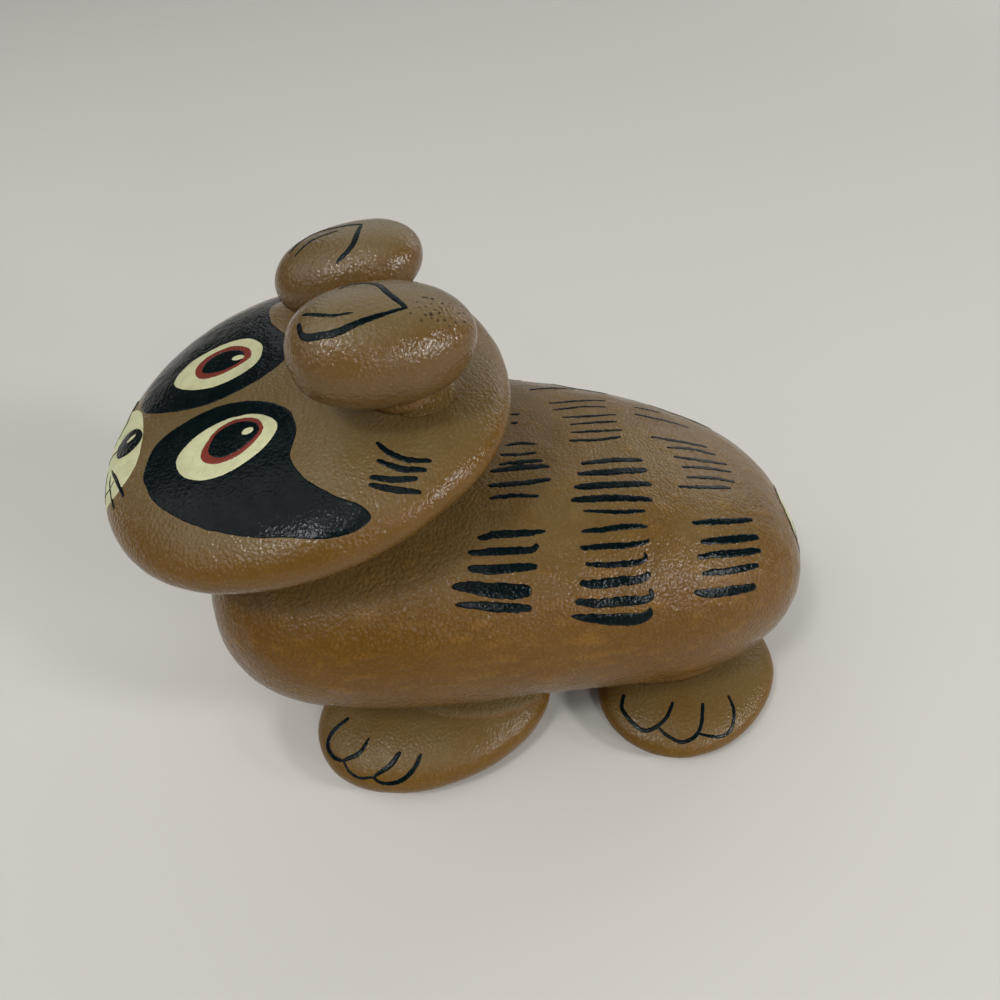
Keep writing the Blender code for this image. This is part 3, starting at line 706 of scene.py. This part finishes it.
# Muzzle
# A cream patch over the front of the head, with the nose, the mouth and the whiskers drawn on it in
# charcoal with the tip of a fine brush.
MUZZLE = ((-5.3, -25.6), (-4.0, -23.5), (-1.4, -21.6), (1.7, -20.6), (4.9, -20.1), (8.2, -20.5),
          (10.6, -22.1), (11.8, -24.7), (11.6, -28.0), (9.8, -31.0), (6.6, -33.2), (3.2, -33.8),
          (-0.2, -33.0), (-3.4, -30.8), (-5.2, -28.2))
NOSE = ((4.7, -25.0), (2.9, -25.3), (1.2, -23.7), (1.3, -21.8), (3.2, -20.3), (5.0, -20.4),
        (5.9, -22.2), (5.5, -24.2))
marks = [patch(MUZZLE, ragged=0.06, seed=11)]
muzzle = painted("muzzle", head_pebble, head_map, marks, height=0.07, halvings=1)
finished(muzzle, CREAM, "cream_paint")
FACE_LINES = (
    (((3.3, -25.0), (3.1, -27.0), (3.2, -28.8)), 0.5),
    (((3.2, -28.8), (5.2, -30.4), (7.8, -29.6), (9.5, -27.4), (9.6, -25.6), (9.0, -24.6)), 0.5),
    (((3.2, -28.8), (1.2, -30.3), (-1.0, -29.5), (-2.6, -27.4)), 0.5),
    (((6.5, -25.6), (9.4, -23.9), (12.7, -22.4)), 0.7),
    (((7.3, -25.7), (9.0, -25.7), (11.4, -25.1), (13.4, -24.6)), 0.45),
    (((5.5, -27.1), (7.2, -27.3), (10.9, -27.4)), 0.35),
    (((0.9, -27.2), (-1.2, -27.5), (-4.6, -27.6)), 0.35),
    (((0.3, -26.0), (-0.9, -25.5), (-2.3, -25.1), (-5.5, -25.2), (-7.6, -24.8)), 0.5),
)
NOSE_GLINT = ((3.3, -22.8), (2.9, -21.6))
marks = [patch(NOSE, ragged=0.04, seed=12)]
marks += [stroke(points, width, full=0.4, ragged=0.04) for points, width in FACE_LINES]
drawn_face = painted("nose_and_mouth", head_pebble, head_map, marks, height=0.12, halvings=2)
finished(drawn_face, CHARCOAL, "charcoal_paint")
marks = [stroke(NOSE_GLINT, width=0.75, tips=(0.6, 0.6), ragged=0.03)]
nose_glint = painted("nose_glint", head_pebble, head_map, marks, height=0.18, halvings=2)
finished(nose_glint, CREAM, "cream_paint")

# Tail
# The tail is painted on the rump, laid up against it: a long cream oval with a thin dark edge and
# charcoal rings across it.
TAIL = ((0.0, -3.6), (2.8, -3.2), (4.7, -2.3), (6.1, -0.9), (7.0, 1.2), (7.2, 4.4), (6.3, 8.8),
        (4.3, 13.3), (0.0, 16.6), (-4.3, 13.3), (-6.3, 8.8), (-7.2, 4.4), (-7.0, 1.2), (-6.1, -0.9),
        (-4.7, -2.3), (-2.8, -3.2))
TAIL_RINGS = ((-0.2, 5.2), (3.8, 6.6), (8.0, 5.9), (12.0, 4.3))
RING_WIDTH, RING_BOW, TAIL_EDGE = 2.0, 0.9, 0.35
tail_map = taped_map("body_stone", turn=0, tilt=-90)
marks = [patch(TAIL, ragged=0.06, seed=21)]
tail_ground = painted("tail_ground", body_pebble, tail_map, marks, height=0.05, halvings=1)
finished(tail_ground, CREAM, "cream_paint")
marks = [stroke((*TAIL, TAIL[0]), TAIL_EDGE, tips=(1, 1), seed=22)]
for y, half in TAIL_RINGS:
    across = ((-half, y), (0, y + RING_BOW), (half, y))
    marks.append(stroke(across, RING_WIDTH, tips=(0.7, 0.7), ragged=0.12, seed=y))
tail_rings = painted("tail_rings", body_pebble, tail_map, marks, height=0.10, halvings=1)
finished(tail_rings, CHARCOAL, "charcoal_paint")

# Cheek and ear lines
# Four short curved strokes behind each mask and thin lines that draw the folds of the ears, all in
# charcoal. On the left ear the brown didn't cover a cluster of pits, and the dark stone shows there.
CHEEK_STROKES = (
    (((17.2, 11.2), (18.7, 12.3), (20.0, 14.3), (20.4, 16.9)), 0.8),
    (((19.7, 11.1), (21.1, 13.5), (21.5, 16.2)), 0.85),
    (((21.6, 10.0), (22.3, 12.2), (22.5, 15.0)), 0.85),
    (((22.6, 9.8), (23.6, 12.4), (24.1, 15.2)), 0.85),
)
FACE_MIDDLE = 3.1
marks = []
for points, width in CHEEK_STROKES:
    mirrored = [(2 * FACE_MIDDLE - x, y) for x, y in points]
    marks += [stroke(line, width, tips=(0.6, 0.6)) for line in (points, mirrored)]
cheeks = painted("cheek_strokes", head_pebble, head_map, marks, height=0.06, halvings=2)
finished(cheeks, CHARCOAL, "charcoal_paint")
EAR_LINES = {
    "left_ear": (
        (((0.2, -9.7), (2.0, -9.8), (3.8, -6.6), (3.6, -2.9), (2.8, 1.9)), 0.85, 0.3, (0.75, 0.35)),
        (((-3.4, -3.6), (-4.1, -2.5), (-2.8, 0.1), (0.2, 0.9), (2.8, 1.9)), 0.85, 0.75, (0.3, 0.5)),
        (((-0.7, -8.7), (1.0, -7.1), (1.9, -5.7), (2.3, -3.7)), 0.5, 0.3, (0.6, 0.3)),
    ),
    "right_ear": (
        (((0.4, -6.3), (-1.6, -4.8), (-2.6, -2.8), (-1.8, 0.5), (-1.0, 3.9)), 0.6, 0.7, (0.5, 0.7)),
        (((1.9, -5.2), (0.0, -2.5), (-0.4, 1.0)), 0.45, 0.4, (0.6, 0.4)),
        (((-0.5, 3.9), (2.9, 3.3), (4.1, 2.6), (5.5, 0.8)), 0.75, 0.5, (0.6, 0.4)),
    ),
}
EAR_FACINGS = {"left_ear": (20.8, -4.7), "right_ear": (-2.5, 16.7)}
EAR_PITS = ((1.2, 4.4, 0.35), (1.9, 3.5, 0.2), (1.6, 5.4, 0.3), (2.8, 5.7, 0.4), (2.6, 7.1, 0.3),
            (3.5, 8.0, 0.3), (3.7, 4.5, 0.45), (4.1, 3.8, 0.25), (4.7, 2.9, 0.3), (4.6, 6.0, 0.25),
            (4.8, 5.0, 0.2), (3.6, 2.1, 0.2), (2.9, 4.3, 0.25), (2.2, 6.3, 0.2), (3.2, 6.5, 0.2),
            (1.5, 4.9, 0.2), (2.3, 5.0, 0.15), (3.3, 5.2, 0.2), (3.9, 5.3, 0.3), (4.2, 6.8, 0.2),
            (1.0, 5.0, 0.15), (2.9, 3.3, 0.15), (2.0, 7.4, 0.2), (3.0, 7.4, 0.2), (4.4, 4.3, 0.2),
            (3.2, 9.0, 0.3), (4.4, 8.5, 0.3), (3.9, 9.6, 0.2), (4.9, 7.3, 0.3), (5.3, 6.2, 0.25))
BARE_STONE = brushed_paint("bare_dark_stone", (0.036, 0.021, 0.009), (0.085, 0.048, 0.020),
                           streak=0.5 * MM, bump=0.05 * MM)
PIT_WIDTH = 0.95
ear_maps = {ear: taped_map(ear, *facing) for ear, facing in EAR_FACINGS.items()}
for ear, lines in EAR_LINES.items():
    marks = [stroke(points, width, full, tips, ragged=0.06) for points, width, full, tips in lines]
    folds = painted(ear + "_lines", ear_pebbles[ear], ear_maps[ear], marks, height=0.06, halvings=1)
    finished(folds, CHARCOAL, "charcoal_paint")
pits = []
for order, (x, y, size) in enumerate(EAR_PITS):
    way = (x + size * math.sin(order * 2.4), y + size * math.cos(order * 2.4))
    pits.append(stroke(((x, y), way), PIT_WIDTH * size, tips=(0.5, 0.5), ragged=0.16, seed=order))
bare = painted("left_ear_pits", ear_pebbles["left_ear"], ear_maps["left_ear"], pits, height=0.02,
               halvings=2)
finished(bare, BARE_STONE, "painted_stone")

# Toes
# Three open loops on the outer end of each paw, drawn in charcoal with the tip of a fine brush
# after the stones were glued together.
FRONT_TOES = (
    (((-1.0, -14.8), (-0.1, -18.0), (1.3, -19.2), (3.4, -18.8), (4.7, -17.7)), 0.85, 0.4, (0.7, 0.6)),
    (((3.6, -12.2), (5.1, -14.5), (4.9, -17.4)), 0.75, 0.6, (0.2, 0.6)),
    (((4.9, -17.4), (6.4, -17.3), (8.2, -16.3), (9.2, -14.2)), 0.5, 0.5, (0.8, 0.8)),
    (((7.9, -8.9), (8.9, -10.7), (9.3, -13.8)), 0.85, 0.35, (0.7, 0.4)),
    (((9.2, -14.0), (10.3, -13.6), (11.4, -12.0), (11.6, -9.6), (10.7, -7.4), (9.5, -6.0)), 0.75,
     0.75, (0.5, 0.7)),
)
REAR_TOES = (
    (((-3.4, -12.8), (-2.2, -14.5), (-0.2, -15.1), (2.0, -15.1), (3.2, -14.5), (3.9, -12.8),
      (4.0, -10.6), (3.1, -8.1)), 0.65, 0.3, (0.9, 0.85)),
    (((4.1, -12.8), (6.2, -12.6), (8.4, -11.5), (9.1, -9.1), (8.6, -7.4), (6.5, -4.5)), 0.65, 0.4,
     (0.6, 0.85)),
    (((9.1, -8.7), (10.6, -7.5), (11.7, -6.2), (12.3, -4.3), (11.4, -2.1), (10.0, -0.8),
      (8.3, 0.0)), 0.6, 0.7, (0.6, 0.8)),
)
PAWS = (("front_left_paw", FRONT_TOES, 20, 1), ("front_right_paw", FRONT_TOES, -20, -1),
        ("rear_left_paw", REAR_TOES, 37.6, 1), ("rear_right_paw", REAR_TOES, -37.6, -1))
for paw, toes, turn, side in PAWS:
    marks = [stroke([(side * x, y) for x, y in points], width, full, tips, ragged=0.06)
             for points, width, full, tips in toes]
    paw_map = taped_map(paw, turn, tilt=0)
    drawn = painted(paw + "_toes", paw_pebbles[paw], paw_map, marks, height=0.06, halvings=1)
    finished(drawn, CHARCOAL, "charcoal_paint")

# Glue squeezed out
# The adhesive that came out round the joints was smoothed with a finger before it set, and the brown
# went over it. It banks up under the head and the ears, and spreads over the front paws.
EAR_BANKS = (
    ((13.9, 14.9), (14.0, 17.0), (12.6, 20.0), (9.8, 21.8), (6.4, 21.2), (3.8, 18.6), (3.6, 14.0),
     (5.6, 11.2), (8.6, 11.0), (11.4, 12.6)),
    ((-20.2, -1.4), (-19.0, -3.7), (-13.0, -3.2), (-8.8, -1.2), (-4.8, 1.8), (-3.4, 7.0),
     (-5.4, 12.4), (-10.3, 14.4), (-15.4, 12.0), (-16.9, 6.0), (-18.8, 1.4)),
)
PAW_SMEAR = ((1.7, -4.7), (4.1, -2.4), (6.6, 1.7), (8.6, 7.7), (8.5, 13.3), (7.8, 16.9), (0.0, 16.0),
             (-6.0, 8.0), (-8.0, 0.0), (-5.0, -6.0), (-1.0, -7.0))
NECK_BANK = ((3.2, -14.6), (11.0, -16.4), (16.8, -21.5), (18.6, -28.0), (16.4, -34.5), (10.8, -38.6),
             (3.2, -40.2), (-4.4, -38.6), (-10.0, -34.5), (-12.2, -28.0), (-10.4, -21.5),
             (-4.6, -16.4))
marks = [patch(NECK_BANK, ragged=0.2, seed=30)]
neck_bank = painted("neck_glue_bank", body_pebble, body_map, marks, height=1.6, halvings=0,
                    shoulder=3.4, hollow=True)
finished(neck_bank, GLUE_BROWN, "painted_glue")
for ear, outline, reach in zip(("left_ear", "right_ear"), EAR_BANKS, (3.2, 7.0)):
    marks = [patch(outline, ragged=0.1, seed=31)]
    bank = painted(ear + "_glue_bank", head_pebble, head_map, marks, height=2.0, halvings=1,
                   shoulder=reach, hollow=True)
    finished(bank, HEAD_BROWN, "painted_glue")
for paw, _, turn, side in PAWS[:2]:
    marks = [patch([(side * x, y) for x, y in PAW_SMEAR], ragged=0.1, seed=32)]
    smear = painted(paw + "_glue_smear", paw_pebbles[paw], taped_map(paw, turn, tilt=0), marks,
                    height=0.5, halvings=1, shoulder=1.3)
    finished(smear, GLUE_BROWN, "painted_glue")

# Floor
# A plain pale surface for the figurine to stand on, as big as a table. It isn't part of the
# object, and it keeps the object's shadow.
FLOOR_SIZE = 1.3
FLOOR_DROP = 0.02
FLOOR_ROUGHNESS = 0.9
FLOOR_COLOUR = (0.61, 0.586, 0.541, 1)
bpy.ops.mesh.primitive_plane_add(size=FLOOR_SIZE, location=(0, 0, -FLOOR_DROP * MM))
floor = bpy.context.object
floor.name = "floor"
pale = bpy.data.materials.new("pale_floor")
pale.use_nodes = True
surface = pale.node_tree.nodes["Principled BSDF"]
surface.inputs["Base Color"].default_value = FLOOR_COLOUR
surface.inputs["Roughness"].default_value = FLOOR_ROUGHNESS
floor.data.materials.append(pale)

# Light
# Small lamps stand for the windows of a room, whose sparks show in the varnish, and broad soft ones
# for its walls and its ceiling. A pale wall is seen behind the floor.
LAMP_DISTANCE = 0.8
LAMPS = (("left_window", 15, 43, 0.07, 0.55), ("low_window", 21, 19, 0.06, 0.35),
         ("middle_window", 48, 21, 0.10, 1.0), ("right_window", 62, 34, 0.11, 1.5),
         ("right_window_low", 71, 22, 0.09, 0.9), ("far_wall", 275, 50, 0.8, 2.4),
         ("far_window", 312, 58, 0.10, 1.3), ("front_window", 316, 31, 0.05, 0.15),
         ("rear_corner", 135, 20, 0.4, 0.9), ("rear_wall", 180, 32, 0.8, 1.2),
         ("ceiling", 345, 76, 0.5, 0.9))
SURROUND = 0.05
ROOM_WALL = 0.62
ROOM_COLOUR = (1, 0.97, 0.93, 1)


def soft_lamp(name, azimuth, elevation, size, power):
    """A square lamp that looks at the figurine. Azimuth is counted from +X towards +Y and elevation
    up from the floor, both in degrees. Size is in metres and power in watts."""
    lamp = bpy.data.lights.new(name, "AREA")
    lamp.size = size
    lamp.energy = power
    made = bpy.data.objects.new(name, lamp)
    bpy.context.scene.collection.objects.link(made)
    turn = Euler((0, -math.radians(elevation), math.radians(azimuth)))
    made.location = Vector((LAMP_DISTANCE, 0, 0))
    made.location.rotate(turn)
    made.rotation_euler = (-made.location).to_track_quat("-Z", "Y").to_euler()


for lamp in LAMPS:
    soft_lamp(*lamp)
world = bpy.data.worlds.new("pale_room")
world.use_nodes = True
room = world.node_tree
room.nodes["Background"].inputs["Color"].default_value = ROOM_COLOUR
seen = add(room, "LightPath").outputs["Is Camera Ray"]
strength = add(room, "MapRange", Value=seen, To_Min=SURROUND, To_Max=ROOM_WALL)
room.links.new(strength.outputs[0], room.nodes["Background"].inputs["Strength"])
bpy.context.scene.world = world

# Camera
# It stands close by the raccoon's left side and looks down at it with a wide lens, as the
# photograph was taken. Places are in mm and angles in degrees.
CAMERA_PLACE = (81.70, -2.71, 118.45)
CAMERA_PITCH = 46.34
CAMERA_AZIMUTH = 86.55
LENS = 27.04
NEAREST = 10
sight = bpy.data.cameras.new("camera")
sight.lens = LENS
sight.clip_start = NEAREST * MM
camera = bpy.data.objects.new("camera", sight)
bpy.context.scene.collection.objects.link(camera)
camera.location = Vector(CAMERA_PLACE) * MM
camera.rotation_euler = (math.radians(90 - CAMERA_PITCH), 0, math.radians(CAMERA_AZIMUTH))
bpy.context.scene.camera = camera
bpy.context.scene.view_settings.view_transform = "Standard"
